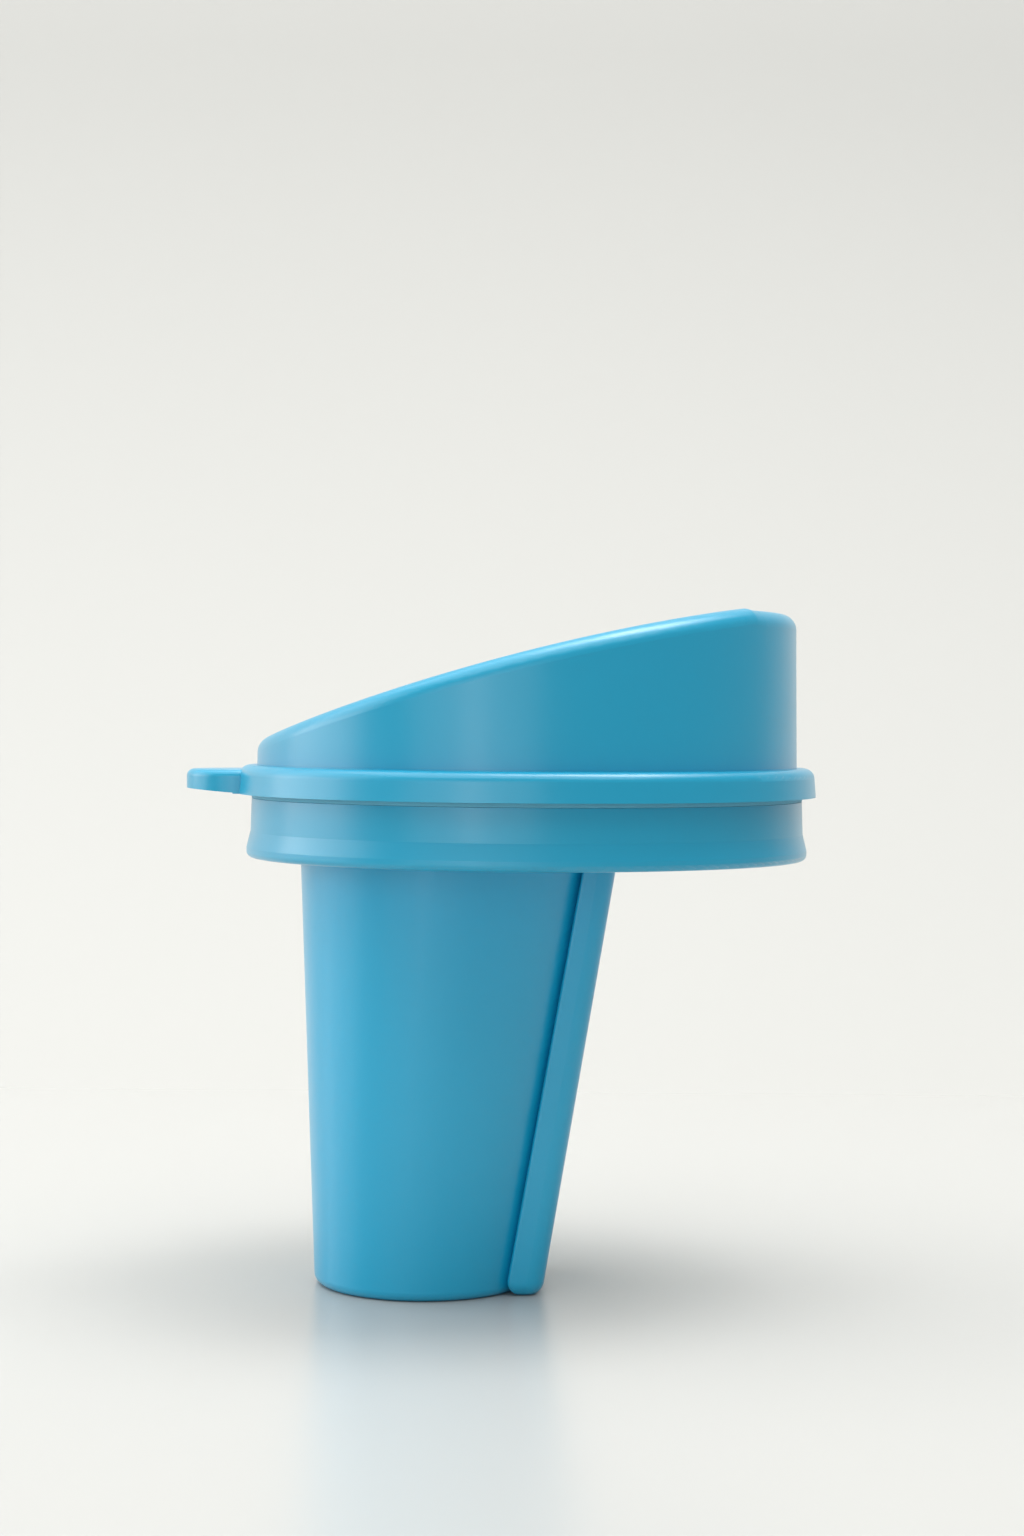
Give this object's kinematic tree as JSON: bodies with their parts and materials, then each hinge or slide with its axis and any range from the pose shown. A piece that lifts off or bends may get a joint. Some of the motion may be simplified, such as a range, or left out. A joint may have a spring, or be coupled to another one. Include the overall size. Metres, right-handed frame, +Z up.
{
  "type": "travel cereal cup insert with lid",
  "caption": "Tapered off-centre cereal cup with a squared chute, hung from a round mouthpiece collar under a slanted press-on lid with a thumb tab.",
  "frame": {"origin": "on the collar's vertical axis, in the plane that the cup stands on; the chute's flat foot reaches it", "axes": "+Z up along the collar's axis; +X towards the high drinking side of the lid, so the thumb tab is at -X; the object mirrors about the XZ plane"},
  "size_m": [0.1222, 0.112, 0.1306],
  "materials": {
    "blue_polypropylene": "satin moulded polypropylene",
    "soft_silicone": "matt translucent silicone"
  },
  "bodies": {
    "insert": {"mouthpiece_collar": "blue_polypropylene", "cereal_cup": "blue_polypropylene", "rim_seal": "soft_silicone", "lid_seal": "soft_silicone"},
    "lid": {"lid_shell": "blue_polypropylene"}
  },
  "joints": [
    {"name": "lid_lift", "type": "slide", "parent": "insert", "child": "lid", "axis": [0, 0, 1], "range_m": [0, 0.045]}
  ]
}
